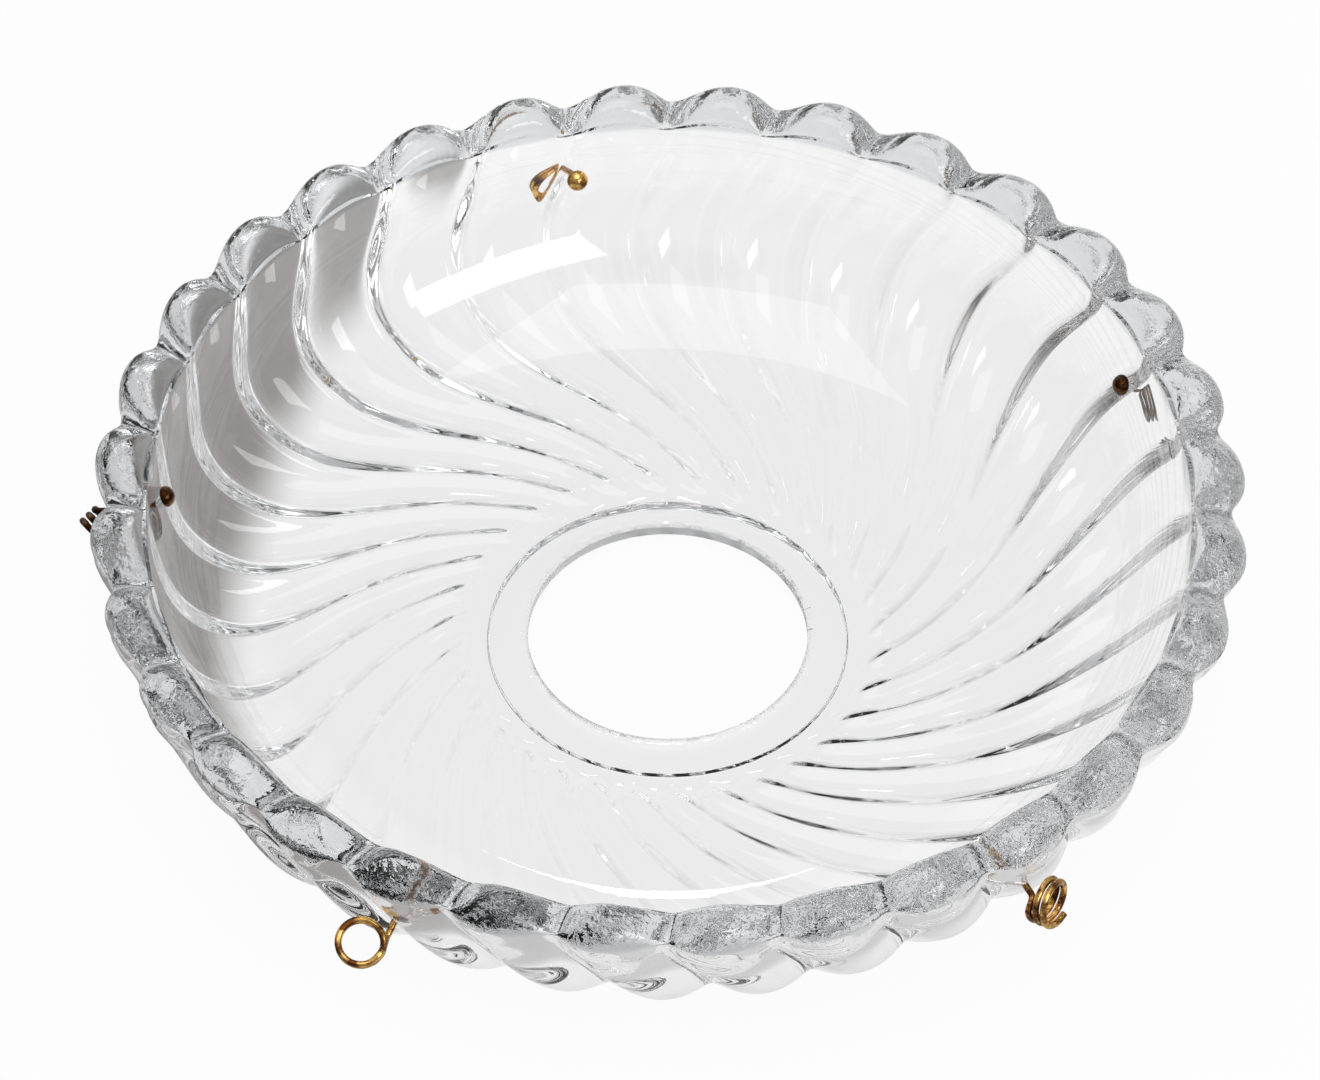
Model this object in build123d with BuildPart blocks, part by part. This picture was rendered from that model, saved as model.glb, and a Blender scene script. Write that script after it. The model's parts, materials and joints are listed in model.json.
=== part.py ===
"""Pressed-glass drip pan (bobeche) with five swivelling brass prism pins.

The pan is a shallow round bowl.  Its inside is smooth.  Its outside is pressed with
spiral lobes that run from the foot ring, round the wall, to a beaded rim.  Brass pins
pass through drilled holes high in the wall: a round head inside, a wire eye outside.

Millimetres, +Z up.  The origin is on the axis of the middle hole, halfway through the plate.
"""
import os
from math import acos, asin, cos, degrees, radians, sin, sqrt, tan

from build123d import *

os.makedirs("parts", exist_ok=True)

# ---------------------------------------------------------------- driving sizes: the pan
RIM_RADIUS = 75.6        # middle of each bead, across the rim edge
RIM_NOTCH = 2.1          # how far the rim edge dips in between two beads
LOBES = 32               # pressed lobes, one under each bead
FIRST_VALLEY = 0.3       # azimuth of a valley between two lobes, at the rim
FOOT_LEAN = -32.3        # azimuth of the lobes at the foot ring, from where they are at the rim
RIM_WIDTH = 7.35         # inside of the wall to the middle of a bead's outer edge
BOWL_DEPTH = 24.75       # inside floor to the notches of the rim, also the wall's curve radius
FOOT_GLASS = 3.4         # glass over the foot ring
FLOOR_LOBE = 3.3         # glass at the middle of a lobe, under the floor
FLOOR_VALLEY = 2.6       # glass in a valley, under the floor
WALL_LOBE = 5.9          # glass at the middle of a lobe, halfway up the wall
WALL_VALLEY = 3.9        # glass in a valley, halfway up the wall
PLATE_GLASS = 2.0        # glass round the middle hole, inside the foot ring
STEM_HOLE_RADIUS = 18.5  # ground hole for the candle arm
STEM_HOLE_BEVEL = 0.3    # ground edge of the hole
SEAT_RADIUS = 23.8       # round recess under the plate, inside the foot ring
FOOT_RADIUS = 26.3       # outer edge of the foot ring, where the lobes start
VALLEY_START = 1.3       # the valleys are nearly full depth this far out from the foot ring
BEAD_RISE = 3.7          # top of a bead above the rim edge
NOTCH_RISE = 0.65        # top of a notch above the rim edge
BEAD_ROOT = 0.85         # beads run this far inside the bowl's wall before the bowl is cut
BEAD_LIP = 0.25          # the beads stand out this far over the lobes under them
LOBE_SQUARE = 0.5        # 0 gives parabolic lobes, 1 gives flatter lobes with tight valleys
BEAD_SQUARE = 0.2        # the same for the beads, which are rounder

# ---------------------------------------------------------------- driving sizes: the pins
WIRE = 0.9               # diameter of the brass wire
PIN_PLAY = 0.08          # radial gap between wire and drilled hole
PIN_DROP = 7.85          # drilled holes below the notches, on the inside of the wall
DRILL_SLOPE = 28.0       # the holes run outwards and down at this angle
HEAD_RADIUS = 1.4        # round pin head
HEAD_DOME = 1.0          # height of the head's dome
HEAD_DISC = 0.3          # straight edge of the head under the dome
HEAD_GAP = 0.1           # head clear of the glass
EYE_RADIUS = 2.9         # middle of the wire in the eye
EYE_PITCH = 1.12         # advance of the eye per turn
EYE_RUN_IN = 50.0        # least angle round the eye that the bend from the lead takes up
EYE_STEPS = 12           # points per turn that guide the wire round the eye
LEAD_OUT = 0.7           # straight wire outside the glass, before the bend

# Each pin: azimuth of its hole, then its hand-bent eye.  The eye's middle lies out, along
# and below the end of the lead, in eye radii.  Its axis is turned from straight out and tilted up.
class Pin:
    """One pin and the bend of its eye."""

    def __init__(self, azimuth, out, along, below, axis_turn, axis_tilt, turns):
        self.azimuth = azimuth
        self.out = out
        self.along = along
        self.below = below
        self.axis_turn = axis_turn
        self.axis_tilt = axis_tilt
        self.turns = turns


PINS = [
    Pin(101.1, out=0.62, along=1.2, below=1.1, axis_turn=15, axis_tilt=5, turns=2.2),
    Pin(26.0, out=0.8, along=-0.1, below=1.25, axis_turn=-10, axis_tilt=5, turns=2.2),
    Pin(173.5, out=0.7, along=0.25, below=1.35, axis_turn=41, axis_tilt=-30, turns=2.2),
    Pin(241.1, out=1.21, along=-0.67, below=-0.3, axis_turn=-151, axis_tilt=-56, turns=2.1),
    Pin(310.0, out=0.62, along=0.54, below=0.41, axis_turn=17, axis_tilt=7, turns=2.3),
]

# ---------------------------------------------------------------- worked-out levels
floor_top = PLATE_GLASS / 2
foot_level = floor_top - FOOT_GLASS
bore_bottom = floor_top - PLATE_GLASS
inner_rim_radius = RIM_RADIUS - RIM_WIDTH
floor_radius = inner_rim_radius - BOWL_DEPTH    # flat inside floor, up to where the wall starts
wall_centre = floor_top + BOWL_DEPTH            # height of the wall curve's centre
rim_edge = wall_centre - NOTCH_RISE             # height of the crisp edge under the beads
bead_inside = inner_rim_radius - BEAD_ROOT
notch_radius = RIM_RADIUS - RIM_NOTCH
half_lobe = 180 / LOBES                         # in degrees round the pan
pin_height = wall_centre - PIN_DROP
pin_wall_radius = floor_radius + sqrt(BOWL_DEPTH**2 - PIN_DROP**2)
wall_slope = degrees(asin(PIN_DROP / BOWL_DEPTH))   # the wall faces down and out by this much here
dome_radius = (HEAD_RADIUS**2 + HEAD_DOME**2) / (2 * HEAD_DOME)
head_lift = HEAD_GAP + HEAD_RADIUS * tan(radians(DRILL_SLOPE - wall_slope))
square_reach = pin_wall_radius - floor_radius
along_drill = square_reach * cos(radians(DRILL_SLOPE)) + PIN_DROP * sin(radians(DRILL_SLOPE))
# Length of a drilled hole, from the inner wall to the middle of a lobe at its thickest.
glass_run = sqrt(along_drill**2 + (BOWL_DEPTH + WALL_LOBE)**2 - BOWL_DEPTH**2) - along_drill

# How the lobes run.  Floor rows: share of the way out from the foot ring to the wall's curve,
# and lean of the lobe in degrees.
floor_run = floor_radius - FOOT_RADIUS
FLOOR_ROWS = [
    (VALLEY_START / floor_run, -30.0),
    (0.27, -24.4),
    (0.62, -15.9),
    (1.0, -7.7),
]
# Wall rows: angle round the wall's curve (0 down, 90 level), share of the way from the floor's
# glass to the wall's, and lean.  The last row is thicker, where the wall spreads to the rim.
WALL_ROWS = [
    (12, 0.22, -1.9),
    (25, 0.6, 2.5),
    (38, 0.9, 4.6),
    (50, 1.0, 5.1),
    (61, 0.98, 4.1),
    (71, 0.88, 2.1),
    (79, 1.08, 0.6),
    (84, 1.4, 0.1),
]


def lobe_shape(across, square=LOBE_SQUARE):
    """Height of a lobe or bead, 0 in the valleys (across = -1 or 1) and 1 in the middle (0)."""
    return 1 - (1 - square) * across**2 - square * across**4


def on_pan(radius, azimuth, height):
    """A point given by its radius, azimuth in degrees and height."""
    return Vector(radius * cos(radians(azimuth)), radius * sin(radians(azimuth)), height)


def foot_row():
    """The lobes' first row, level round the foot ring."""
    return [on_pan(FOOT_RADIUS, FOOT_LEAN + step / 4 * half_lobe, foot_level) for step in range(-4, 5)]


def floor_row(share, lean):
    """One row of points across a lobe under the floor, from valley to valley."""
    row = []
    for step in range(-4, 5):
        across = step / 4
        glass = FLOOR_VALLEY + (FLOOR_LOBE - FLOOR_VALLEY) * lobe_shape(across)
        radius = FOOT_RADIUS + share * floor_run
        row.append(on_pan(radius, lean + across * half_lobe, floor_top - glass))
    return row


def wall_row(angle, share, lean):
    """One row of points across a lobe on the wall, angle degrees round the wall's curve."""
    glass_mid = FLOOR_LOBE + share * (WALL_LOBE - FLOOR_LOBE)
    glass_valley = FLOOR_VALLEY + share * (WALL_VALLEY - FLOOR_VALLEY)
    row = []
    for step in range(-4, 5):
        across = step / 4
        reach = BOWL_DEPTH + glass_valley + (glass_mid - glass_valley) * lobe_shape(across)
        radius = floor_radius + reach * sin(radians(angle))
        height = wall_centre - reach * cos(radians(angle))
        row.append(on_pan(radius, lean + across * half_lobe, height))
    return row


def lobe_top_row():
    """The lobes' last row, hidden inside the beads."""
    row = []
    for step in range(-4, 5):
        across = step / 4
        radius = notch_radius + RIM_NOTCH * lobe_shape(across) - BEAD_LIP
        row.append(on_pan(radius, across * half_lobe, rim_edge + NOTCH_RISE / 2))
    return row


def bead_row(turn):
    """One row of points across a bead, turn degrees round its half-oval section."""
    row = []
    for step in range(-4, 5):
        across = step / 4
        bulge = lobe_shape(across, BEAD_SQUARE)
        outside = notch_radius + RIM_NOTCH * bulge
        half_width = (outside - bead_inside) / 2
        rise = NOTCH_RISE + (BEAD_RISE - NOTCH_RISE) * bulge
        radius = bead_inside + half_width * (1 + cos(radians(turn)))
        row.append(on_pan(radius, across * half_lobe, rim_edge + rise * sin(radians(turn))))
    return row


def drill_plane(pin):
    """Plane at the inner mouth of a pin's hole: z runs out through the glass."""
    azimuth = radians(pin.azimuth)
    slope = radians(DRILL_SLOPE)
    mouth = on_pan(pin_wall_radius, pin.azimuth, pin_height)
    out = Vector(cos(azimuth) * cos(slope), sin(azimuth) * cos(slope), -sin(slope))
    sideways = Vector(-sin(azimuth), cos(azimuth), 0)
    return Plane(origin=mouth, x_dir=sideways, z_dir=out)


def place_eye(pin, lead_end):
    """Plane of the eye's first turn, with x towards the point where the wire runs in."""
    azimuth = radians(pin.azimuth)
    outward = Vector(cos(azimuth), sin(azimuth), 0)
    along = Vector(-sin(azimuth), cos(azimuth), 0)
    level = outward * cos(radians(pin.axis_turn)) + along * sin(radians(pin.axis_turn))
    axis = level * cos(radians(pin.axis_tilt)) + Vector(0, 0, 1) * sin(radians(pin.axis_tilt))
    offset = outward * pin.out + along * pin.along - Vector(0, 0, 1) * pin.below
    middle = lead_end + offset * EYE_RADIUS
    start = middle - axis * (EYE_PITCH * pin.turns / 2)
    towards_lead = lead_end - start
    towards_lead = towards_lead - axis * towards_lead.dot(axis)
    # The wire meets the first turn where a straight line from the lead would touch it, and
    # later where the lead is so close to the eye that the bend would be too tight.
    touch_angle = max(EYE_RUN_IN, degrees(acos(min(1, EYE_RADIUS / towards_lead.length))))
    touch = towards_lead.normalized().rotate(Axis((0, 0, 0), axis), touch_angle)
    return Plane(origin=start, x_dir=touch, z_dir=axis)


def eye_point(eye_plane, angle):
    """A point on the eye's wire, angle degrees on from where the first turn starts."""
    flat = eye_plane.x_dir * cos(radians(angle)) + eye_plane.y_dir * sin(radians(angle))
    return eye_plane.origin + flat * EYE_RADIUS + eye_plane.z_dir * (EYE_PITCH * angle / 360)


# ---------------------------------------------------------------- glass_dish
def around(face):
    """The face of one lobe, repeated for every lobe from the first valley on."""
    first_middle = FIRST_VALLEY + half_lobe
    return [face.rotate(Axis.Z, first_middle + 2 * half_lobe * index) for index in range(LOBES)]


def lowest_pair(edges):
    """The two edges whose middles are lowest."""
    return edges.sort_by(lambda edge: edge.center().Z)[:2]


def ring_wire(faces, pick):
    """The closed wire made by one edge of each face."""
    return Wire([pick(face.edges()) for face in faces])


floor_rows = [foot_row()] + [floor_row(*row) for row in FLOOR_ROWS]
wall_rows = [wall_row(*row) for row in WALL_ROWS] + [lobe_top_row()]
lobe_faces = around(Face.make_surface_from_array_of_points(
    floor_rows + wall_rows, tol=1e-3, min_deg=3, max_deg=6))
foot_wire = ring_wire(lobe_faces, lambda edges: edges.sort_by(Axis.Z)[0])
lobe_top_wire = ring_wire(lobe_faces, lambda edges: edges.sort_by(Axis.Z)[-1])
lobed_blank = Solid(Shell(lobe_faces + [Face(foot_wire), Face(lobe_top_wire)]))

bead_faces = around(Face.make_surface_from_array_of_points(
    [bead_row(turn) for turn in range(0, 181, 15)], tol=1e-3, min_deg=3, max_deg=6))
# The two lowest edges of a bead's face are its outer and inner edge, and the inner is shorter.
bead_outer_wire = ring_wire(bead_faces, lambda edges: lowest_pair(edges).sort_by(Edge.length)[-1])
bead_inner_wire = ring_wire(bead_faces, lambda edges: lowest_pair(edges).sort_by(Edge.length)[0])
bead_blank = Solid(Shell(bead_faces + [Face(bead_outer_wire, [bead_inner_wire])]))

with BuildPart() as glass_dish:
    add(lobed_blank)
    add(bead_blank)
    # Smooth inside: flat floor, round wall, straight up through the beads.
    with BuildSketch(Plane.XZ):
        with BuildLine():
            Line((0, floor_top), (floor_radius, floor_top))
            RadiusArc((floor_radius, floor_top), (inner_rim_radius, wall_centre), -BOWL_DEPTH)
            Polyline((inner_rim_radius, wall_centre), (inner_rim_radius, wall_centre + 2 * BEAD_RISE),
                     (0, wall_centre + 2 * BEAD_RISE), (0, floor_top))
        make_face()
    revolve(axis=Axis.Z, mode=Mode.SUBTRACT)
    # Recess inside the foot ring, and the ground hole for the candle arm.
    with BuildSketch(Plane.XZ):
        with BuildLine():
            Polyline((0, foot_level - PLATE_GLASS), (SEAT_RADIUS, foot_level - PLATE_GLASS),
                     (SEAT_RADIUS, bore_bottom),
                     (STEM_HOLE_RADIUS + STEM_HOLE_BEVEL, bore_bottom),
                     (STEM_HOLE_RADIUS, bore_bottom + STEM_HOLE_BEVEL),
                     (STEM_HOLE_RADIUS, floor_top - STEM_HOLE_BEVEL),
                     (STEM_HOLE_RADIUS + STEM_HOLE_BEVEL, floor_top),
                     (STEM_HOLE_RADIUS + STEM_HOLE_BEVEL, floor_top + PLATE_GLASS),
                     (0, floor_top + PLATE_GLASS), (0, foot_level - PLATE_GLASS))
        make_face()
    revolve(axis=Axis.Z, mode=Mode.SUBTRACT)
    # Drilled holes for the pins.
    for pin in PINS:
        with BuildSketch(drill_plane(pin).offset(-2 * HEAD_RADIUS)):
            Circle(WIRE / 2 + PIN_PLAY)
        extrude(amount=2 * HEAD_RADIUS + glass_run + HEAD_RADIUS, mode=Mode.SUBTRACT)
glass_dish.part.label = "glass_dish"
export_step(glass_dish.part, "parts/glass_dish.step")


# ---------------------------------------------------------------- prism_pin_1 to prism_pin_5
def make_pin(pin):
    """One brass pin: round head inside the bowl, wire through the glass, eye outside."""
    drill = drill_plane(pin)
    out = Vector(drill.z_dir)
    lead_end = Vector(drill.origin) + out * (glass_run + LEAD_OUT)
    eye_plane = place_eye(pin, lead_end)
    steps = round(pin.turns * EYE_STEPS)
    coil = [eye_point(eye_plane, 360 * step / EYE_STEPS) for step in range(steps + 1)]
    coil_end = coil[-1] - eye_point(eye_plane, 360 * (steps - 1) / EYE_STEPS)
    with BuildPart() as made:
        with BuildSketch(drill.offset(-head_lift)):
            Circle(WIRE / 2)
        extrude(amount=head_lift + glass_run + LEAD_OUT)
        # The bend and the eye are one length of wire.
        with BuildLine():
            Spline(lead_end, *coil, tangents=(out, coil_end), tangent_scalars=(1, 1))
        with BuildSketch(drill.offset(glass_run + LEAD_OUT)):
            Circle(WIRE / 2)
        sweep()
        # The head: a short straight edge and a low dome, turned about the wire.
        seat = Vector(drill.origin) - out * head_lift
        head_plane = Plane(origin=seat, x_dir=drill.x_dir, z_dir=drill.y_dir)
        with BuildSketch(head_plane):
            with BuildLine():
                Polyline((0, HEAD_DISC + HEAD_DOME), (0, 0), (HEAD_RADIUS, 0), (HEAD_RADIUS, HEAD_DISC))
                RadiusArc((HEAD_RADIUS, HEAD_DISC), (0, HEAD_DISC + HEAD_DOME), -dome_radius)
            make_face()
        revolve(axis=Axis(seat, out))
    return made


for number, pin in enumerate(PINS, start=1):
    prism_pin = make_pin(pin)
    prism_pin.part.label = f"prism_pin_{number}"
    export_step(prism_pin.part, f"parts/prism_pin_{number}.step")
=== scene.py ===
"""A finished glass drip pan with brass prism pins, in a small white studio.

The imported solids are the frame.  The glass is made here as one finer skin on the same sizes,
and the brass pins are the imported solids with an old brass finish.  Lengths are in metres.
"""
import json
import math

import bpy
import numpy as np
from bpy.props import FloatProperty, FloatVectorProperty, IntProperty, PointerProperty
from bpy.types import Operator, Panel, PropertyGroup
from mathutils import Matrix, Vector


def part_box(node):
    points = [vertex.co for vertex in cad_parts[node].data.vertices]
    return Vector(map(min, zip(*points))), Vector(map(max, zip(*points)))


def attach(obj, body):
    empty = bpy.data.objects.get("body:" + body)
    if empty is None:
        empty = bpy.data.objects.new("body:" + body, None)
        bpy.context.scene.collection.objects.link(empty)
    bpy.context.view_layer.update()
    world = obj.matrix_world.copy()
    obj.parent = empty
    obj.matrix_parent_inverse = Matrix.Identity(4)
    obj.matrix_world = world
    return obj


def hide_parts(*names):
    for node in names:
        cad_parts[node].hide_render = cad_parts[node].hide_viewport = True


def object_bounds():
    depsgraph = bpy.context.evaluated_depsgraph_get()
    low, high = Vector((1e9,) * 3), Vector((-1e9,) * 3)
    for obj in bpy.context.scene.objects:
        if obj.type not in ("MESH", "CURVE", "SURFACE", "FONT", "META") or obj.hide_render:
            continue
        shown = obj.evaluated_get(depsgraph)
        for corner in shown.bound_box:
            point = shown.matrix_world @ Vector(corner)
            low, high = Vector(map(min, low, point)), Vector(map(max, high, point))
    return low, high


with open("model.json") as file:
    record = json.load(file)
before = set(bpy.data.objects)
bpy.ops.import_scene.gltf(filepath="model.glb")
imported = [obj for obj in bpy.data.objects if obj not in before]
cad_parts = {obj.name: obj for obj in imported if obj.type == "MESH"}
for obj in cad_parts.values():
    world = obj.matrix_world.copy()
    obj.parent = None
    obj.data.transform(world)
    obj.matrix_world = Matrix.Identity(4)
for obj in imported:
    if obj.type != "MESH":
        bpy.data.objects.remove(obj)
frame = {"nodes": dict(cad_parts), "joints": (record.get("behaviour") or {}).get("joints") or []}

bl_info = {
    "name": "Glass Drip Pan",
    "version": (1, 0, 0),
    "blender": (4, 5, 0),
    "location": "3D View > Sidebar > Drip Pan",
    "description": "Makes a pressed-glass drip pan with brass prism pins, and a studio for it",
    "category": "Object",
}

MM = 0.001
CAD_BOX = [list(corner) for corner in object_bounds()]
FOOT_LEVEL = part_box("glass_dish")[0].z
BROWN_PINS = ("prism_pin_2", "prism_pin_3")

# Stations on the outside of the pan, from the foot ring out over the floor and up the wall.
# Floor stations are radii, wall stations are degrees round the wall's curve.  Each gives the
# glass at the middle of a lobe, the glass in a valley (mm) and the lean of the lobe (degrees).
FLOOR_STATIONS = (
    (26.3, 3.40, 3.40, -32.3),
    (27.6, 3.25, 2.95, -30.0),
    (31.0, 3.30, 2.86, -24.4),
    (37.0, 3.30, 2.78, -15.9),
    (43.5, 3.30, 2.72, -7.7),
)
WALL_STATIONS = (
    (12, 3.87, 3.02, -1.9),
    (25, 4.86, 3.50, 2.5),
    (38, 5.64, 3.77, 4.6),
    (50, 5.90, 3.90, 5.1),
    (61, 5.85, 3.87, 4.1),
    (71, 5.59, 3.74, 2.1),
    (79, 6.11, 4.00, 0.6),
    (84, 6.94, 4.42, 0.1),
    (88, 7.10, 5.00, 0.0),
)
# Glass that is typical of the wall.  It turns degrees round the wall's curve into a length.
TYPICAL_GLASS = 3.7 * MM

# Rows of the skin on each part of the profile, and columns across each lobe.  The columns bunch
# towards the valleys: this share of their spacing follows a sine.
FLOOR_ROWS, WALL_ROWS, BEAD_ROWS, CORNER_ROWS = 9, 31, 21, 4
OUTER_WALL_ROWS, OUTER_FLOOR_ROWS, FOOT_ROWS = 34, 7, 9
COLUMNS_PER_LOBE, BUNCHING = 24, 0.85
CHIP_SEED, CHIP_COLUMNS = 32, 5
DRILL_SIDES, DRILL_BACK, DRILL_LENGTH = 24, 3 * MM, 10 * MM
SHARP_EDGE = math.radians(38)

# The dimples of the beads fade in over this height about the rim edge.  Their depth grows from
# the calm side to the full depth between two places along X.
BEAD_FADE = (-0.3 * MM, 0.6 * MM)
CALM_TO_FULL = (-10 * MM, 50 * MM)

# Lamps: azimuth and elevation (degrees), distance and size (metres), and brightness setting.
LAMPS = {
    "key_lamp": (-50.5, 37, 1.3, (0.82, 0.38), "key_glow"),
    "back_lamp": (90, 42.5, 1.5, (0.035, 0.17), "back_glow"),
    "top_lamp": (-100, 84, 1.6, (1.2, 1.2), "top_glow"),
}
# Tones of the room from level (0) to overhead (1), as glass and metal see it.
ROOM_TONES = (
    (0.0, (0.30, 0.28, 0.27)),
    (0.08, (0.09, 0.082, 0.077)),
    (0.28, (0.28, 0.28, 0.28)),
    (0.65, (0.52, 0.52, 0.53)),
    (1.0, (0.80, 0.80, 0.80)),
)
# A dark round place in front of the dish, by its angles (degrees), and a bright backdrop
# behind it, by its edges along Y and Z of the direction.
DARK_FRONT, DARK_FRONT_EDGE = (0.02, 0.018, 0.016), (14, 8)
BACKDROP, BACKDROP_Y, BACKDROP_Z = (0.95, 0.95, 0.95), (0.25, 0.6), (0.65, 0.45)
WHITE = (1.0, 1.0, 1.0)
STAGE_PAINT, STAGE_REACH, STAGE_SIDES = (0.92, 0.92, 0.92), 2.5, 96
# Where the painted shade on the stage's floor, seen through glass and off metal, goes from its left
# to its right tone along X, and where more painted shade darkens it far out, both in radii of the
# painted pool of light.
SHADE_EDGE, FAR_EDGE = (-1.0, -0.1), (2.3, 5.0)
# Height of the bowl's floor above the foot ring.
FLOOR_OVER_FOOT = 3.4 * MM


# ------------------------------------------------------------------ settings
class DripPanSizes(PropertyGroup):
    """Sizes of the glass."""

    lobes: IntProperty(name="Lobes", description="Pressed lobes round the pan", default=32, min=3)
    first_valley: FloatProperty(
        name="First valley", description="Azimuth of one valley at the rim",
        default=math.radians(0.3), unit="ROTATION")
    rim_radius: FloatProperty(
        name="Rim radius", description="Middle of each bead, across the rim edge",
        default=75.58 * MM, unit="LENGTH")
    rim_notch: FloatProperty(
        name="Rim notch", description="How far the rim dips in between two beads",
        default=2.1 * MM, unit="LENGTH")
    floor_radius: FloatProperty(
        name="Floor radius", description="Flat floor inside the bowl",
        default=43.5 * MM, unit="LENGTH")
    bowl_depth: FloatProperty(
        name="Bowl depth", description="Radius of the wall's curve, and depth of the bowl",
        default=24.75 * MM, unit="LENGTH")
    plate_glass: FloatProperty(
        name="Plate thickness", description="Glass round the middle hole",
        default=2.0 * MM, unit="LENGTH")
    hole_radius: FloatProperty(
        name="Hole radius", description="Ground hole in the middle",
        default=18.5 * MM, unit="LENGTH")
    hole_bevel: FloatProperty(
        name="Hole bevel", description="Ground edge of the hole", default=0.3 * MM, unit="LENGTH")
    chip_depth: FloatProperty(
        name="Chip depth", description="Small chips along the hole's upper edge",
        default=0.9 * MM, unit="LENGTH")
    seat_radius: FloatProperty(
        name="Recess radius", description="Round recess inside the foot ring",
        default=23.8 * MM, unit="LENGTH")
    notch_rise: FloatProperty(
        name="Notch rise", description="Top of a notch above the rim edge",
        default=0.65 * MM, unit="LENGTH")
    bead_rise: FloatProperty(
        name="Bead rise", description="Top of a bead above the rim edge",
        default=3.64 * MM, unit="LENGTH")
    bead_root: FloatProperty(
        name="Bead root", description="Foot of a bead above the rim edge, inside the bowl",
        default=1.1 * MM, unit="LENGTH")
    bead_step: FloatProperty(
        name="Bead step", description="Small ledge between the bowl's inside and the beads",
        default=0.6 * MM, unit="LENGTH")
    bead_twist: FloatProperty(
        name="Bead twist", description="Turn of the beads' feet inside the bowl",
        default=math.radians(0.8), unit="ROTATION")
    bead_lean: FloatProperty(
        name="Bead lean", description="Shift of each bead's top along the rim, in half beads",
        default=0.16, min=0, max=0.6)
    valley_round: FloatProperty(
        name="Valley round", description="Rounding of the valleys, as a share of half a lobe",
        default=0.14, min=0.001, max=0.5)
    lobe_square: FloatProperty(
        name="Lobe squareness", description="0 gives parabolic lobes, 1 flatter lobes",
        default=0.05, min=0, max=1)
    notch_round: FloatProperty(
        name="Notch round", description="Rounding between beads, as a share of half a bead",
        default=0.2, min=0.001, max=0.5)
    bead_square: FloatProperty(
        name="Bead squareness", description="0 gives parabolic beads, 1 flatter beads",
        default=0.2, min=0, max=1)
    corner_round: FloatProperty(
        name="Corner round", description="Rounding of the foot ring's corners",
        default=0.15 * MM, unit="LENGTH")
    drill_radius: FloatProperty(
        name="Drilled hole radius", description="Holes that the pins pass through",
        default=0.53 * MM, unit="LENGTH")


class DripPanLooks(PropertyGroup):
    """Colours and surface of the glass and the brass."""

    glass_tint: FloatVectorProperty(
        name="Glass tint", description="Colour of light through the glass", subtype="COLOR",
        size=3, default=(0.970, 0.970, 0.972), min=0, max=1)
    bead_tint: FloatVectorProperty(
        name="Bead tint", description="Colour of light through the beads", subtype="COLOR",
        size=3, default=(0.60, 0.63, 0.65), min=0, max=1)
    glass_bend: FloatProperty(
        name="Glass IOR", description="How strongly the glass bends light", default=1.52)
    wave_depth: FloatProperty(
        name="Wave depth", description="Depth of the slow waves of pressed glass",
        default=0.02 * MM, unit="LENGTH")
    dimple_depth: FloatProperty(
        name="Dimple depth", description="Depth of the small dimples on the beads",
        default=0.24 * MM, unit="LENGTH")
    dimple_calm: FloatProperty(
        name="Calm side", description="Share of the dimples' depth left on the -X side",
        default=0.4, min=0, max=1)
    ground_roughness: FloatProperty(
        name="Ground roughness", description="Roughness of drilled and ground glass", default=0.45)
    brass_bright: FloatVectorProperty(
        name="Bright brass", description="Brass where it is rubbed", subtype="COLOR",
        size=3, default=(0.92, 0.55, 0.17), min=0, max=1)
    brass_worn: FloatVectorProperty(
        name="Worn brass", description="Brass in its brown patches", subtype="COLOR",
        size=3, default=(0.13, 0.045, 0.012), min=0, max=1)
    brass_tarnish: FloatVectorProperty(
        name="Tarnished brass", description="Pins that have gone dark brown", subtype="COLOR",
        size=3, default=(0.035, 0.012, 0.004), min=0, max=1)
    brass_dull: FloatVectorProperty(
        name="Dull brass", description="Where the dark brown pins are rubbed", subtype="COLOR",
        size=3, default=(0.24, 0.12, 0.05), min=0, max=1)


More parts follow.
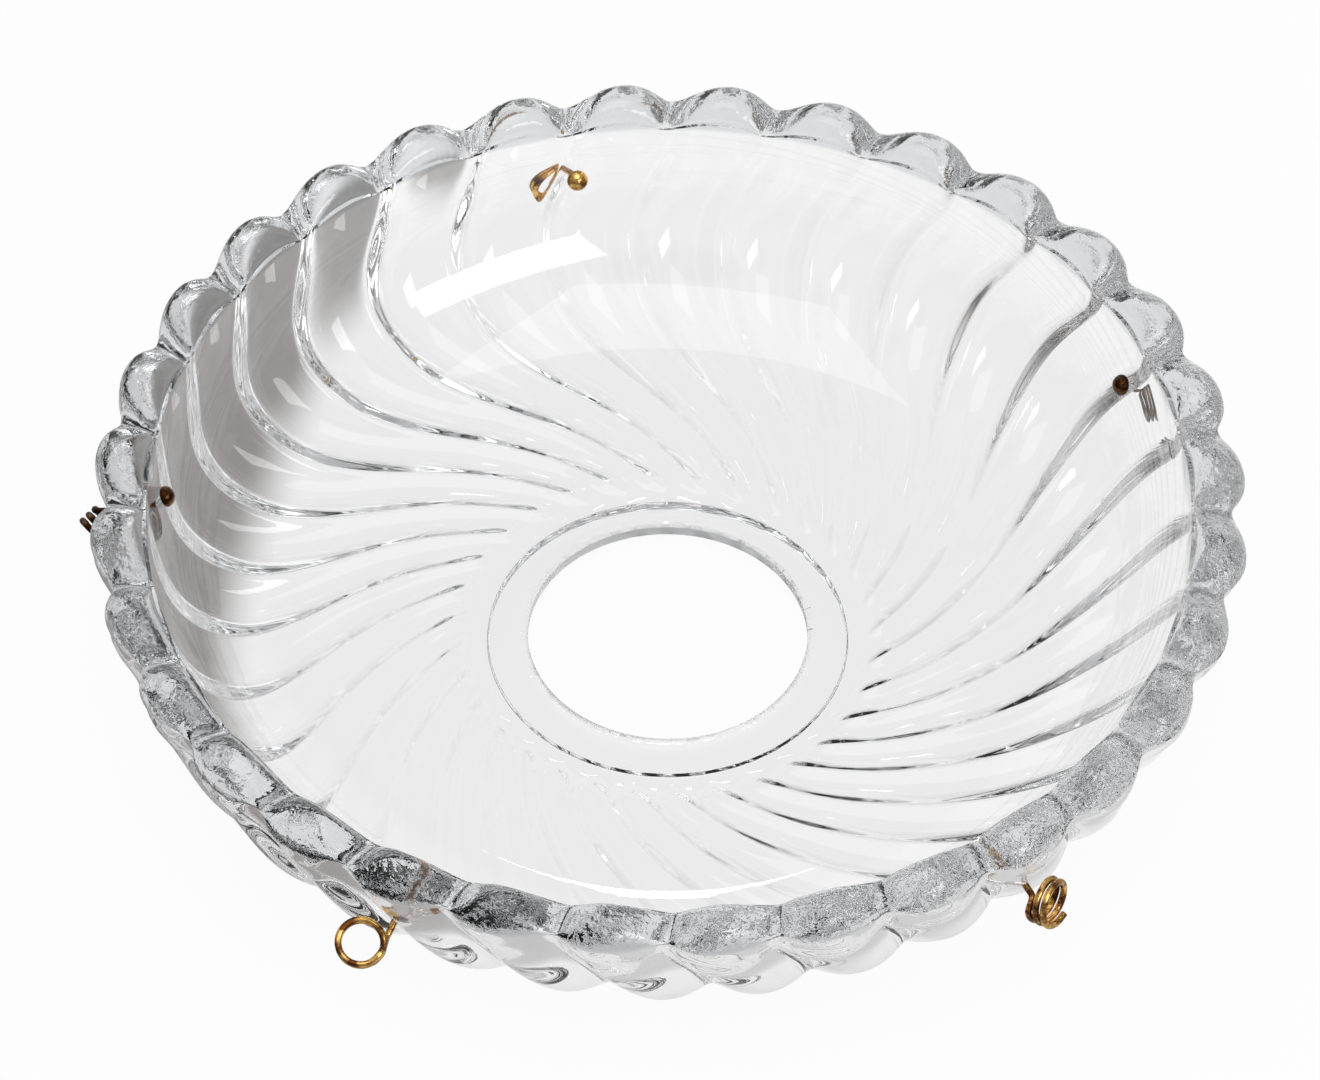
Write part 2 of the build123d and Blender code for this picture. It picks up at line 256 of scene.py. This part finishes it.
class DripPanStudio(PropertyGroup):
    """Camera, lamps, room and floor."""

    camera_elevation: FloatProperty(
        name="Camera elevation", description="Height of the view above level",
        default=math.radians(48.98), unit="ROTATION")
    camera_distance: FloatProperty(
        name="Camera distance", description="From the middle of the bowl's floor",
        default=1.5, unit="LENGTH")
    camera_roll: FloatProperty(
        name="Camera roll", description="Turn about the line of sight",
        default=math.radians(0.63), unit="ROTATION")
    camera_lens: FloatProperty(
        name="Camera lens", description="Focal length in millimetres", default=309.7)
    aim_up: FloatProperty(
        name="Aim up", description="How far above the middle of the floor the view aims",
        default=11.97 * MM, unit="LENGTH")
    aim_left: FloatProperty(
        name="Aim left", description="How far left of the middle of the floor the view aims",
        default=1.15 * MM, unit="LENGTH")
    key_glow: FloatProperty(
        name="Key brightness", description="Brightness of the large soft lamp", default=5.0)
    back_glow: FloatProperty(
        name="Back brightness", description="Brightness of the small lamp behind", default=9.0)
    top_glow: FloatProperty(
        name="Top brightness", description="Brightness of the broad lamp above", default=1.2)
    room_light: FloatProperty(
        name="Room light", description="Even light on dull surfaces from all round", default=0.45)
    floor_glow: FloatProperty(
        name="Floor glow", description="Share of the floor's white that doesn't take shadow",
        default=0.95, min=0, max=1)
    floor_glow_through: FloatProperty(
        name="Floor glow through glass", description="The same share, seen through glass",
        default=0.85, min=0, max=1)
    # Painted light on the floor, seen only through glass and off metal: a painted pool of light,
    # with painted shade to its sides and far out.
    pool_middle: FloatVectorProperty(
        name="Pool middle", description="Middle of the bright floor seen through glass",
        subtype="XYZ", unit="LENGTH", size=2, default=(9.5 * MM, 8 * MM))
    pool_radius: FloatProperty(
        name="Pool radius", description="Half the width of the bright floor seen through glass",
        default=70 * MM, unit="LENGTH")
    pool_tilt: FloatProperty(
        name="Pool tilt", description="Slant of its sides away from the near side",
        default=math.radians(12), unit="ROTATION")
    pool_soft: FloatProperty(
        name="Pool softness", description="Half the width of its soft edge",
        default=5 * MM, unit="LENGTH")
    painted_shade_left: FloatVectorProperty(
        name="Left shade", description="Floor left of the pool, seen through glass",
        subtype="COLOR", size=3, default=(0.26, 0.245, 0.235), min=0, max=1)
    painted_shade_right: FloatVectorProperty(
        name="Right shade", description="Floor right of the pool, seen through glass",
        subtype="COLOR", size=3, default=(0.65, 0.65, 0.65), min=0, max=1)
    painted_far_shade: FloatProperty(
        name="Far shade", description="Share of the floor's brightness left far out",
        default=0.3, min=0, max=1)


# ------------------------------------------------------------------ shapes
def smooth_curve(stations, values, where):
    """A natural cubic curve through the values at the stations, read at each place in where.

    Between two stations the curve is a cubic.  Its bends at the stations solve one linear
    system, so that the slope and the bend run through every station without a break.
    """
    stations, values = np.asarray(stations, float), np.asarray(values, float)
    gap = np.diff(stations)
    slope = np.diff(values) / gap
    inner = np.arange(1, len(stations) - 1)
    system = np.eye(len(stations))
    system[inner, inner - 1] = gap[:-1]
    system[inner, inner] = 2 * (gap[:-1] + gap[1:])
    system[inner, inner + 1] = gap[1:]
    target = np.zeros(len(stations))
    target[1:-1] = 6 * np.diff(slope)
    bend = np.linalg.solve(system, target)
    left = np.clip(np.searchsorted(stations, where) - 1, 0, len(gap) - 1)
    a = (stations[left + 1] - where) / gap[left]
    b = 1 - a
    cubic = ((a**3 - a) * bend[left] + (b**3 - b) * bend[left + 1]) * gap[left] ** 2 / 6
    return a * values[left] + b * values[left + 1] + cubic


def lobe_height(across, rounding, square):
    """Height of a lobe, 1 in its middle (across = 0) and 0 in the valleys (across = -1 or 1).

    The lobe lies between a parabola (square = 0) and a fourth power (square = 1).  The distance
    from the valley is replaced by a hyperbola, which rounds the bottom of the valley.
    """
    from_valley = np.sqrt((1 - np.abs(across)) ** 2 + rounding**2) - rounding
    from_valley /= math.sqrt(1 + rounding**2) - rounding
    rounded = 1 - from_valley
    return 1 - (1 - square) * rounded**2 - square * rounded**4


def corner_arc(corner, before, after, radius):
    """Points of a small arc that rounds a square corner of the profile.

    before and after are unit directions of the profile into and out of the corner.  The arc
    runs a quarter turn about the point that lies radius back from both sides.
    """
    turn = np.linspace(0, math.pi / 2, CORNER_ROWS)[:, None]
    corner, before, after = np.array(corner), np.array(before), np.array(after)
    middle = corner - before * radius + after * radius
    return middle - after * radius * np.cos(turn) + before * radius * np.sin(turn)


def pan_skin(sizes):
    """Radius, azimuth and height of the whole skin, as arrays of profile rows by columns round.

    The profile is one closed loop: the hole's edge, the floor, the wall's arc and the beads'
    half ovals inside, then the lobes down the wall and the floor outside, the foot ring, the
    recess and the hole.  Outside, the glass thickness runs from valley to middle as
    lobe_height does, and each row is turned by the lean of the lobes.  The beads' tops are
    shifted along the rim by bead_lean times 1 - across squared.
    """
    half_lobe = math.pi / sizes.lobes
    share = -1 + 2 * np.arange(COLUMNS_PER_LOBE) / COLUMNS_PER_LOBE
    across_one = BUNCHING * np.sin(math.pi / 2 * share) + (1 - BUNCHING) * share
    across = np.tile(across_one, sizes.lobes)
    middles = sizes.first_valley + half_lobe * (1 + 2 * np.arange(sizes.lobes))
    azimuth = np.repeat(middles, COLUMNS_PER_LOBE) + half_lobe * across
    height_share = lobe_height(across, sizes.valley_round, sizes.lobe_square)
    leaned = across + sizes.bead_lean * (1 - across**2)
    bead_share = lobe_height(leaned, sizes.notch_round, sizes.bead_square)

    floor_top = sizes.plate_glass / 2
    wall_centre = floor_top + sizes.bowl_depth
    rim_edge = wall_centre - sizes.notch_rise
    deepest_lean = math.radians(FLOOR_STATIONS[0][3])
    rows = []

    def add(radius, height, turn):
        radius, height, turn = np.broadcast_arrays(
            np.atleast_1d(radius), np.atleast_1d(height), np.atleast_1d(turn))
        if radius.ndim == 1:
            radius, height, turn = (part[:, None] + 0 * azimuth for part in (radius, height, turn))
        rows.append(np.stack([radius, azimuth + turn, height], axis=-1))

    # Inside: the hole's chipped edge, a ring of points past the chips that keeps the floor
    # smooth, the flat floor, then the wall's arc and a short rise up to a small ledge.
    start = sizes.hole_radius + sizes.hole_bevel
    floor_radii = np.linspace(start, sizes.floor_radius, FLOOR_ROWS)
    unwind = np.linspace(deepest_lean, sizes.bead_twist, FLOOR_ROWS)
    chips = np.random.default_rng(CHIP_SEED).random(azimuth.size)
    chips = sum(np.roll(chips, shift) for shift in range(CHIP_COLUMNS))
    chips = ((chips - chips.min()) / np.ptp(chips)) ** 2
    add(start + sizes.chip_depth * chips[None], floor_top, unwind[0])
    add(start + 1.2 * sizes.chip_depth, floor_top, unwind[0])
    add(floor_radii[1:], floor_top, unwind[1:])
    rim_angle = math.acos(sizes.notch_rise / sizes.bowl_depth)
    angle = np.linspace(0, rim_angle, WALL_ROWS)[1:, None]
    inner_radius = sizes.floor_radius + sizes.bowl_depth * np.sin(angle) + 0 * azimuth
    add(inner_radius, wall_centre - sizes.bowl_depth * np.cos(angle) + 0 * azimuth,
        sizes.bead_twist)
    root = sizes.bead_root * bead_share
    add(inner_radius[-1:], rim_edge + root[None], sizes.bead_twist)

    # Beads: half an oval over the rim, wider and higher at the middle of each bead.
    turn = np.radians(np.linspace(180, 0, BEAD_ROWS))[:, None]
    outside = sizes.rim_radius - sizes.rim_notch * (1 - bead_share)
    inside = inner_radius[-1] + sizes.bead_step * (0.5 + 0.5 * bead_share)
    rise = sizes.notch_rise + (sizes.bead_rise - sizes.notch_rise) * bead_share
    add((outside + inside) / 2 + (outside - inside) / 2 * np.cos(turn),
        rim_edge + root * (1 - np.cos(turn)) / 2 + (rise - root / 2) * np.sin(turn),
        sizes.bead_twist * (1 - np.cos(turn)) / 2)

    # Outside: lobes down the wall and in over the floor to the foot ring.
    scale = sizes.bowl_depth + TYPICAL_GLASS
    wall = np.array(WALL_STATIONS)
    floor = np.array(FLOOR_STATIONS)
    floor_run = floor[:, 0] * MM - sizes.floor_radius
    run = np.concatenate([floor_run, np.radians(wall[:, 0]) * scale])
    table = np.concatenate([floor[:, 1:], wall[:, 1:]])
    wall_run = np.radians(np.linspace(wall[-1, 0], 0, OUTER_WALL_ROWS)) * scale
    over_floor = np.concatenate([np.linspace(0, floor_run[2], OUTER_FLOOR_ROWS)[1:],
                                 np.linspace(floor_run[2], floor_run[0], FOOT_ROWS)[1:]])
    where = np.concatenate([wall_run, over_floor])
    glass_mid, glass_valley, lean = (smooth_curve(run, table[:, k], where) for k in range(3))
    glass = (glass_valley[:, None] + (glass_mid - glass_valley)[:, None] * height_share) * MM
    wall_angle = np.clip(where / scale, 0, None)[:, None]
    reach = sizes.bowl_depth + glass
    on_wall = where[:, None] >= 0
    radius = np.where(on_wall, sizes.floor_radius + reach * np.sin(wall_angle),
                      sizes.floor_radius + where[:, None])
    height = np.where(on_wall, wall_centre - reach * np.cos(wall_angle), floor_top - glass)
    add(radius, height, np.radians(lean)[:, None] + 0 * azimuth)

    # Foot ring, recess, and the ground hole with its small bevels.
    bore_bottom = -sizes.plate_glass / 2
    corners = [
        corner_arc((sizes.seat_radius, FOOT_LEVEL), (-1, 0), (0, 1), sizes.corner_round),
        corner_arc((sizes.seat_radius, bore_bottom), (0, 1), (-1, 0), sizes.corner_round),
        np.array([(sizes.hole_radius + sizes.hole_bevel, bore_bottom),
                  (sizes.hole_radius, bore_bottom + sizes.hole_bevel),
                  (sizes.hole_radius, floor_top - sizes.hole_bevel)]),
    ]
    profile = np.concatenate(corners)
    add(profile[:, 0], profile[:, 1], deepest_lean)
    return np.concatenate(rows)


def closed_grid(skin):
    """Points and quads of a grid that closes on itself both ways, like a ring doughnut."""
    rows, columns = skin.shape[:2]
    radius, azimuth, height = skin[..., 0], skin[..., 1], skin[..., 2]
    points = np.stack([radius * np.cos(azimuth), radius * np.sin(azimuth), height], axis=-1)
    index = np.arange(rows * columns).reshape(rows, columns)
    next_row = np.roll(index, -1, axis=0)
    quads = np.stack([index, next_row, np.roll(next_row, -1, axis=1), np.roll(index, -1, axis=1)],
                     axis=-1)
    return points.reshape(-1, 3), quads.reshape(-1, 4).tolist()


def drill_grid(start, direction, radius):
    """Points and faces of a closed round rod along a direction, for cutting a drilled hole.

    Its ends are the circles radius * (cos turn * side + sin turn * other) about start and
    about start + DRILL_LENGTH * direction, where side and other are square to direction.
    """
    direction = Vector(direction).normalized()
    side = direction.orthogonal().normalized()
    other = direction.cross(side)
    turn = np.linspace(0, 2 * math.pi, DRILL_SIDES, endpoint=False)[:, None]
    ring = radius * (np.cos(turn) * np.array(side) + np.sin(turn) * np.array(other))
    near_end = np.array(start) + ring
    points = np.concatenate([near_end, near_end + DRILL_LENGTH * np.array(direction)])
    near = np.arange(DRILL_SIDES)
    far = near + DRILL_SIDES
    quads = np.stack([near, np.roll(near, -1), np.roll(far, -1), far], axis=-1).tolist()
    return points, quads + [near[::-1].tolist(), far.tolist()]


def make_mesh(name, points, faces):
    """A new mesh object at the origin, shaded smooth."""
    mesh = bpy.data.meshes.new(name)
    mesh.from_pydata(points.tolist(), [], faces)
    mesh.validate()
    mesh.shade_smooth()
    made = bpy.data.objects.new(name, mesh)
    bpy.context.scene.collection.objects.link(made)
    return made


# ------------------------------------------------------------------ finishes
class Nodes:
    """Adds nodes to a cleared node tree.  A value is set, and another node's output is linked."""

    def __init__(self, tree):
        tree.nodes.clear()
        self.tree = tree

    def add(self, kind, *sockets, **values):
        """A node.  Each named value is a setting or a socket, with _ for spaces; the unnamed
        ones go to the first sockets in order."""
        made = self.tree.nodes.new(kind)
        for key, value in values.items():
            if hasattr(made, key):
                setattr(made, key, value)
            else:
                self.feed(made.inputs[key.replace("_", " ")], value)
        for socket, value in zip(made.inputs, sockets):
            self.feed(socket, value)
        return made

    def feed(self, socket, value):
        """Links a socket to an output, or sets its value.  A colour gets its fourth number."""
        if isinstance(value, bpy.types.NodeSocket):
            self.tree.links.new(value, socket)
        elif socket.type == "RGBA":
            socket.default_value = (*value, 1)
        else:
            socket.default_value = value

    def place(self, kind="Object"):
        """Coordinates of a kind."""
        return self.add("ShaderNodeTexCoord").outputs[kind]

    def rays(self):
        """The outputs that tell which kind of ray arrives."""
        return self.add("ShaderNodeLightPath").outputs

    def split(self, vector):
        """X, Y and Z of a vector."""
        return tuple(self.add("ShaderNodeSeparateXYZ", Vector=vector).outputs)

    def calc(self, operation, *numbers):
        """The result of an operation on numbers."""
        return self.add("ShaderNodeMath", *numbers, operation=operation).outputs["Value"]

    def measure(self, operation, *vectors):
        """A length, distance or dot product of vectors."""
        made = self.add("ShaderNodeVectorMath", *vectors, operation=operation)
        return made.outputs["Value"]

    def noise(self, scale, detail, **values):
        """Noise in object coordinates."""
        made = self.add("ShaderNodeTexNoise", Vector=self.place(), Scale=scale, Detail=detail,
                        **values)
        return made.outputs["Fac"]

    def bump(self, height, depth, strength=1.0, **over):
        """Small relief of a given depth, on the surface or over another relief's Normal."""
        made = self.add("ShaderNodeBump", Height=height, Distance=depth, Strength=strength, **over)
        return made.outputs["Normal"]

    def ramp(self, value, start, end, low=0.0, high=1.0, curve="SMOOTHSTEP"):
        """A step from low to high while value runs from start to end."""
        made = self.add("ShaderNodeMapRange", interpolation_type=curve, Value=value,
                        From_Min=start, From_Max=end, To_Min=low, To_Max=high)
        return made.outputs["Result"]

    def blend(self, share, low, high, kind="MIX"):
        """The colour that goes from low to high as share goes from 0 to 1."""
        made = self.add("ShaderNodeMix", data_type="RGBA", blend_type=kind)
        share_in, low_in, high_in = made.inputs[0], made.inputs[6], made.inputs[7]
        for socket, value in ((share_in, share), (low_in, low), (high_in, high)):
            self.feed(socket, value)
        return made.outputs[2]

    def mix(self, share, low, high):
        """A mix of the shaders of two nodes."""
        return self.add("ShaderNodeMixShader", share, low.outputs[0], high.outputs[0])

    def sharp(self, rays):
        """1 for rays that left glass or metal, else 0."""
        return self.calc("MAXIMUM", rays["Is Glossy Ray"], rays["Is Transmission Ray"])


def new_material(name):
    """An empty node material, and the helper that adds its nodes."""
    material = bpy.data.materials.new(name)
    material.use_nodes = True
    return material, Nodes(material.node_tree)


def put_out_glass(nodes, glass, clear):
    """Puts glass out through a mix that lets the share clear of lamp light pass straight
    through, so that it shades softly."""
    passing = nodes.add("ShaderNodeBsdfTransparent", Color=(clear, clear, clear))
    mixed = nodes.mix(nodes.rays()["Is Shadow Ray"], glass, passing)
    nodes.add("ShaderNodeOutputMaterial", Surface=mixed.outputs[0])


def clear_glass(looks, rim_edge):
    """Clear pressed glass: slow waves all over, and fine dimples on the beads above rim_edge."""
    material, nodes = new_material("clear_glass")
    x, _, z = nodes.split(nodes.place())
    on_beads = nodes.ramp(z, rim_edge + BEAD_FADE[0], rim_edge + BEAD_FADE[1])
    depth_share = nodes.ramp(x, *CALM_TO_FULL, low=looks.dimple_calm)
    waves = nodes.bump(nodes.noise(scale=110.0, detail=2.0), looks.wave_depth)
    pits = nodes.noise(scale=1000.0, detail=2.0, Distortion=0.3)
    strength = nodes.calc("MULTIPLY", on_beads, depth_share)
    dimples = nodes.bump(pits, looks.dimple_depth, strength, Normal=waves)
    glass = nodes.add("ShaderNodeBsdfPrincipled", Roughness=0.0, IOR=looks.glass_bend,
                      Base_Color=nodes.blend(on_beads, looks.glass_tint, looks.bead_tint),
                      Transmission_Weight=1.0, Normal=dimples)
    put_out_glass(nodes, glass, clear=0.93)
    return material


def ground_glass(looks):
    """Ground and drilled glass, frosted by the tool, with its fine scores."""
    material, nodes = new_material("ground_glass")
    scores = nodes.bump(nodes.noise(scale=1500.0, detail=4.0, Roughness=0.7), depth=0.08 * MM)
    glass = nodes.add("ShaderNodeBsdfPrincipled", Base_Color=(0.99, 0.99, 0.99),
                      Roughness=looks.ground_roughness, IOR=looks.glass_bend,
                      Transmission_Weight=1.0, Normal=scores)
    put_out_glass(nodes, glass, clear=0.8)
    return material


def old_brass(name, patches_colour, rubbed_colour, patch_share):
    """Old brass wire: rubbed metal with darker patches and fine draw marks.

    patch_share moves the edge of the patches, from few at 0 to nearly all over at 1.
    """
    material, nodes = new_material(name)
    patches = nodes.noise(scale=420.0, detail=5.0, Roughness=0.65)
    spread = nodes.add("ShaderNodeValToRGB", Fac=patches)
    dark_stop, bright_stop = spread.color_ramp.elements
    dark_stop.position, dark_stop.color = 0.38 + 0.17 * patch_share, (*patches_colour, 1)
    bright_stop.position, bright_stop.color = 0.52 + 0.26 * patch_share, (*rubbed_colour, 1)
    dull = nodes.ramp(patches, 0.4, 0.65, low=0.32, high=0.14, curve="LINEAR")
    marks = nodes.bump(nodes.noise(scale=3500.0, detail=2.0), depth=0.01 * MM, strength=0.6)
    brass = nodes.add("ShaderNodeBsdfPrincipled", Base_Color=spread.outputs["Color"],
                      Metallic=1.0, Roughness=dull, Normal=marks)
    nodes.add("ShaderNodeOutputMaterial", Surface=brass.outputs["BSDF"])
    return material


# ------------------------------------------------------------------ operators
class DRIPPAN_OT_glass(Operator):
    """Makes the glass dish as one closed skin and drills the five pin holes"""

    bl_idname = "drippan.glass"
    bl_label = "Glass dish"
    bl_options = {"REGISTER", "UNDO"}

    def execute(self, context):
        sizes, looks = context.scene.drippan_sizes, context.scene.drippan_looks
        skin = pan_skin(sizes)
        points, quads = closed_grid(skin)
        dish = make_mesh("dish_glass", points, quads)
        rim_edge = sizes.plate_glass / 2 + sizes.bowl_depth - sizes.notch_rise
        dish.data.materials.append(clear_glass(looks, rim_edge))
        dish.data.materials.append(ground_glass(looks))
        # The last three rows of faces are the hole's two bevels and the ground ring between.
        slots = np.zeros(len(quads), np.int32)
        slots[-3 * skin.shape[1]:] = 1
        dish.data.polygons.foreach_set("material_index", slots)
        self.drill(dish, sizes)
        dish.data.set_sharp_from_angle(angle=SHARP_EDGE)
        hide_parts("glass_dish")
        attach(dish, "dish")
        return {"FINISHED"}

    def drill(self, dish, sizes):
        """Cuts a round hole along each pin's hinge line, from inside the bowl to outside."""
        for joint in frame["joints"]:
            mouth, axis = Vector(joint["pos_m"]), Vector(joint["axis"])
            start = mouth - axis * DRILL_BACK
            cutter = make_mesh("drill", *drill_grid(start, axis, sizes.drill_radius))
            cutter.data.materials.append(dish.data.materials[1])
            cut = dish.modifiers.new("drill", "BOOLEAN")
            cut.operation, cut.object, cut.solver = "DIFFERENCE", cutter, "MANIFOLD"
            cut.material_mode = "TRANSFER"
            bpy.context.view_layer.update()
            worked_out = dish.evaluated_get(bpy.context.evaluated_depsgraph_get())
            drilled = bpy.data.meshes.new_from_object(worked_out)
            if len(drilled.polygons) < len(dish.data.polygons):
                raise RuntimeError("a pin hole could not be drilled")
            dish.modifiers.clear()
            old, dish.data = dish.data, drilled
            bpy.data.meshes.remove(old)
            bpy.data.objects.remove(cutter)


class DRIPPAN_OT_pins(Operator):
    """Gives the five packed pins their old brass finish"""

    bl_idname = "drippan.pins"
    bl_label = "Brass pins"
    bl_options = {"REGISTER", "UNDO"}

    def execute(self, context):
        looks = context.scene.drippan_looks
        bright = old_brass("bright_brass", looks.brass_worn, looks.brass_bright, patch_share=0.2)
        brown = old_brass("brown_brass", looks.brass_tarnish, looks.brass_dull, patch_share=0.6)
        for name, pin in frame["nodes"].items():
            if name.startswith("prism_pin"):
                pin.data.materials.clear()
                pin.data.materials.append(brown if name in BROWN_PINS else bright)
        return {"FINISHED"}


class DRIPPAN_OT_stage(Operator):
    """Sets up the white floor, the soft lamps and the camera"""

    bl_idname = "drippan.stage"
    bl_label = "Stage"
    bl_options = {"REGISTER", "UNDO"}

    def execute(self, context):
        studio = context.scene.drippan_studio
        context.scene.view_settings.view_transform = "Standard"
        self.make_floor(studio)
        self.make_room(context, studio)
        for name, (*place, glow) in LAMPS.items():
            self.make_lamp(name, *place, getattr(studio, glow))
        self.make_camera(context, studio)
        cycles = context.scene.cycles
        cycles.max_bounces = 24
        cycles.transmission_bounces = 24
        cycles.glossy_bounces = 8
        cycles.diffuse_bounces = 4
        cycles.transparent_max_bounces = 24
        cycles.caustics_reflective = False
        cycles.caustics_refractive = False
        return {"FINISHED"}

    def make_floor(self, studio):
        """A pale round floor just under the foot ring.  Part of its white is its own glow, so
        that it looks white in a picture; through glass and off metal that glow carries a painted
        pool of light and painted shade.  The rest takes light and shadow."""
        turn = np.linspace(0, 2 * math.pi, STAGE_SIDES, endpoint=False)
        rim = STAGE_REACH * np.stack([np.cos(turn), np.sin(turn), 0 * turn], axis=-1)
        rim[:, 2] = FOOT_LEVEL
        floor = make_mesh("floor", rim, [list(range(STAGE_SIDES))])
        material, nodes = new_material("white_floor")
        rays = nodes.rays()
        sharp = nodes.sharp(rays)
        seen = nodes.calc("MULTIPLY", rays["Is Camera Ray"], studio.floor_glow)
        share = nodes.calc("MULTIPLY_ADD", sharp, studio.floor_glow_through, seen)
        # Glass and metal see the painted pool of light and painted shade; the camera sees plain
        # white.
        tone = nodes.blend(sharp, WHITE, self.painted_floor_light(nodes, studio))
        paint = nodes.add("ShaderNodeBsdfDiffuse", Color=STAGE_PAINT)
        glow = nodes.add("ShaderNodeEmission", Color=tone, Strength=1.0)
        nodes.add("ShaderNodeOutputMaterial", Surface=nodes.mix(share, paint, glow).outputs[0])
        floor.data.materials.append(material)

    def painted_floor_light(self, nodes, studio):
        """Painted light on the floor, seen only through glass and off metal.  A painted pool of
        white light runs from a round end on the near side away towards the far side, tilted.  To
        its sides lies painted shade, and more painted shade darkens the floor far out, left, right
        and on the near side."""
        x, y, _ = nodes.split(nodes.place())
        half = studio.pool_radius
        from_left = nodes.ramp(x, *(half * edge for edge in SHADE_EDGE))
        beside = nodes.blend(from_left, studio.painted_shade_left, studio.painted_shade_right)
        pool = nodes.add("ShaderNodeCombineXYZ",
                         nodes.calc("MULTIPLY_ADD", y, -math.tan(studio.pool_tilt), x),
                         nodes.calc("MINIMUM", y, studio.pool_middle[1]))
        from_middle = nodes.measure("DISTANCE", pool.outputs[0], (*studio.pool_middle, 0))
        outside = nodes.ramp(from_middle, half - studio.pool_soft, half + studio.pool_soft)
        near_side = nodes.add("ShaderNodeCombineXYZ", x, nodes.calc("MINIMUM", y, 0.0))
        from_dish = nodes.measure("LENGTH", near_side.outputs[0])
        far_out = nodes.ramp(from_dish, *(half * edge for edge in FAR_EDGE))
        away = nodes.blend(far_out, WHITE, (studio.painted_far_shade,) * 3)
        return nodes.blend(1.0, nodes.blend(outside, WHITE, beside), away, "MULTIPLY")

    def make_room(self, context, studio):
        """Even room light.  Glass and metal see a dim room, paler above, with a dark place in
        front of the dish and a bright backdrop behind it; the camera itself sees white."""
        world = bpy.data.worlds.new("room")
        context.scene.world = world
        world.use_nodes = True
        nodes = Nodes(world.node_tree)
        direction = nodes.place("Generated")
        _, y, z = nodes.split(direction)
        tones = nodes.add("ShaderNodeValToRGB", Fac=z)
        stops = tones.color_ramp.elements
        stops[0].color, stops[1].color = (*ROOM_TONES[0][1], 1), (*ROOM_TONES[-1][1], 1)
        for position, tone in ROOM_TONES[1:-1]:
            stops.new(position).color = (*tone, 1)
        rise = studio.camera_elevation
        front = (0, -math.cos(rise), math.sin(rise))
        edge = (math.cos(math.radians(angle)) for angle in DARK_FRONT_EDGE)
        in_front = nodes.ramp(nodes.measure("DOT_PRODUCT", direction, front), *edge)
        behind = nodes.calc("MULTIPLY", nodes.ramp(y, *BACKDROP_Y), nodes.ramp(z, *BACKDROP_Z))
        tone = nodes.blend(in_front, tones.outputs["Color"], DARK_FRONT)
        tone = nodes.blend(behind, tone, BACKDROP)
        even = nodes.add("ShaderNodeBackground", Color=WHITE, Strength=studio.room_light)
        room = nodes.add("ShaderNodeBackground", Color=tone)
        white = nodes.add("ShaderNodeBackground", Color=WHITE)
        rays = nodes.rays()
        dull_or_sharp = nodes.mix(nodes.sharp(rays), even, room)
        seen = nodes.mix(rays["Is Camera Ray"], dull_or_sharp, white)
        nodes.add("ShaderNodeOutputWorld", Surface=seen.outputs[0])

    def make_lamp(self, name, azimuth, elevation, distance, size, glow):
        """A flat lamp that faces the dish from a direction given in degrees.  Its power is its
        brightness times its area times pi."""
        lamp = bpy.data.lights.new(name, "AREA")
        lamp.shape, lamp.size, lamp.size_y = "RECTANGLE", size[0], size[1]
        lamp.energy = glow * size[0] * size[1] * math.pi
        made = bpy.data.objects.new(name, lamp)
        bpy.context.scene.collection.objects.link(made)
        a, e = math.radians(azimuth), math.radians(elevation)
        towards = Vector((math.cos(a) * math.cos(e), math.sin(a) * math.cos(e), math.sin(e)))
        made.location = towards * distance
        made.rotation_euler = towards.to_track_quat("Z", "Y").to_euler()

    def make_camera(self, context, studio):
        """A long lens on the dish from the -Y side, aimed just above and left of its middle."""
        middle = Vector((0, 0, CAD_BOX[0][2] + FLOOR_OVER_FOOT))
        rise = studio.camera_elevation
        back = Vector((0, -math.cos(rise), math.sin(rise)))
        up = Vector((0, math.sin(rise), math.cos(rise)))
        place = middle + back * studio.camera_distance
        aim = middle + up * studio.aim_up - Vector((1, 0, 0)) * studio.aim_left
        look = (place - aim).normalized()
        side = up.cross(look).normalized()
        level = Matrix((side, look.cross(side), look)).transposed()
        lens = bpy.data.cameras.new("camera")
        lens.sensor_width, lens.lens = 36.0, studio.camera_lens
        camera = bpy.data.objects.new("camera", lens)
        context.scene.collection.objects.link(camera)
        rolled = level @ Matrix.Rotation(studio.camera_roll, 3, "Z")
        camera.matrix_world = Matrix.Translation(place) @ rolled.to_4x4()
        context.scene.camera = camera


class DRIPPAN_PT_sidebar(Panel):
    """Lists the pieces and their settings"""

    bl_label = "Drip Pan"
    bl_idname = "DRIPPAN_PT_sidebar"
    bl_space_type = "VIEW_3D"
    bl_region_type = "UI"
    bl_category = "Drip Pan"

    def draw(self, context):
        for operator, settings in (
                (DRIPPAN_OT_glass, context.scene.drippan_sizes),
                (DRIPPAN_OT_pins, context.scene.drippan_looks),
                (DRIPPAN_OT_stage, context.scene.drippan_studio)):
            box = self.layout.box()
            box.operator(operator.bl_idname)
            for name in settings.__annotations__:
                box.prop(settings, name)


CLASSES = (DripPanSizes, DripPanLooks, DripPanStudio, DRIPPAN_OT_glass, DRIPPAN_OT_pins,
           DRIPPAN_OT_stage, DRIPPAN_PT_sidebar)


def register():
    """Adds the classes and the three groups of settings."""
    for cls in CLASSES:
        bpy.utils.register_class(cls)
    bpy.types.Scene.drippan_sizes = PointerProperty(type=DripPanSizes)
    bpy.types.Scene.drippan_looks = PointerProperty(type=DripPanLooks)
    bpy.types.Scene.drippan_studio = PointerProperty(type=DripPanStudio)


def unregister():
    """Takes them away again."""
    del bpy.types.Scene.drippan_studio
    del bpy.types.Scene.drippan_looks
    del bpy.types.Scene.drippan_sizes
    for cls in reversed(CLASSES):
        bpy.utils.unregister_class(cls)


def main():
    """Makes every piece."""
    register()
    bpy.ops.drippan.glass()
    bpy.ops.drippan.pins()
    bpy.ops.drippan.stage()


if __name__ == "__main__":
    main()
